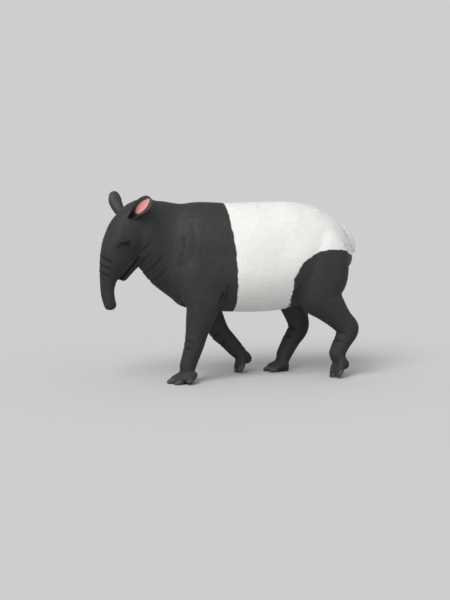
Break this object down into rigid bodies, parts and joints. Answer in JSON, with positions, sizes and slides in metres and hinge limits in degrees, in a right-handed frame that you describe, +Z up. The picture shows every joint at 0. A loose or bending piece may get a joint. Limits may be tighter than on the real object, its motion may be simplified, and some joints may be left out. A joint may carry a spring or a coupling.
{
  "type": "malayan tapir",
  "caption": "Life-size adult Malayan tapir in mid-stride with its head low, charcoal with a white saddle, standing on its hooves.",
  "frame": {"origin": "on the floor, under the middle of the animal's length and width", "axes": "+Z up; the head points along -Y and the animal's left is +X"},
  "size_m": [0.5707, 1.5796, 1.1266],
  "materials": {
    "black_coat": "short, flat, charcoal fur",
    "white_coat": "short, flat, white fur",
    "eye": "wet, very dark brown",
    "hoof": "dark horn"
  },
  "bodies": {
    "root": {"head": "black_coat", "neck": "black_coat", "chest": "black_coat", "barrel": "white_coat", "rump": "white_coat", "tail": "white_coat", "ear_left": "black_coat", "eye_left": "eye", "foreleg_left": "black_coat", "forefoot_left": "black_coat", "thigh_left": "black_coat", "shank_left": "black_coat", "hindfoot_left": "black_coat", "ear_right": "black_coat", "eye_right": "eye", "foreleg_right": "black_coat", "forefoot_right": "black_coat", "thigh_right": "black_coat", "shank_right": "black_coat", "hindfoot_right": "black_coat", "hoof_fore_left_inner": "hoof", "hoof_fore_left_middle": "hoof", "hoof_fore_left_outer": "hoof", "hoof_fore_left_small": "hoof", "hoof_hind_left_inner": "hoof", "hoof_hind_left_middle": "hoof", "hoof_hind_left_outer": "hoof", "hoof_fore_right_inner": "hoof", "hoof_fore_right_middle": "hoof", "hoof_fore_right_outer": "hoof", "hoof_fore_right_small": "hoof", "hoof_hind_right_inner": "hoof", "hoof_hind_right_middle": "hoof", "hoof_hind_right_outer": "hoof"}
  },
  "joints": []
}
